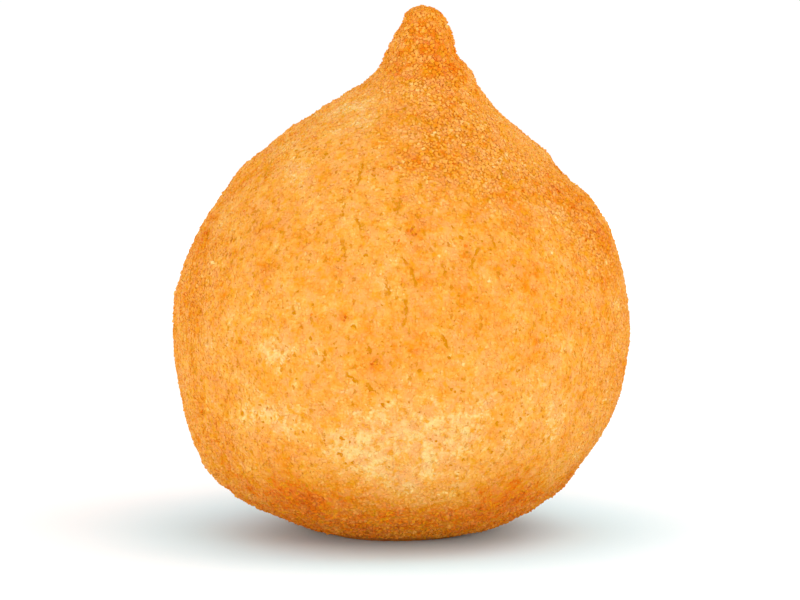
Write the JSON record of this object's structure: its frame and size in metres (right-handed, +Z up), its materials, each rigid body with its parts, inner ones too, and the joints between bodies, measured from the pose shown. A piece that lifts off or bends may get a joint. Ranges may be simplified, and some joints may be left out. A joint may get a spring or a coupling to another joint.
{
  "type": "coxinha",
  "caption": "Whole fried dough snack shaped as a teardrop, with a golden breadcrumb crust and a pinched tip, standing on a small flat foot.",
  "frame": {"origin": "on the surface that it stands on, under the middle of the belly", "axes": "+Z up through the pinched tip, which leans a little towards +X, and -Y towards the side that the picture shows"},
  "size_m": [0.0663, 0.0655, 0.0756],
  "materials": {
    "fried_crust": "golden fried breadcrumbs, matt with small oily glints"
  },
  "bodies": {
    "root": {"coxinha": "fried_crust"}
  },
  "joints": []
}
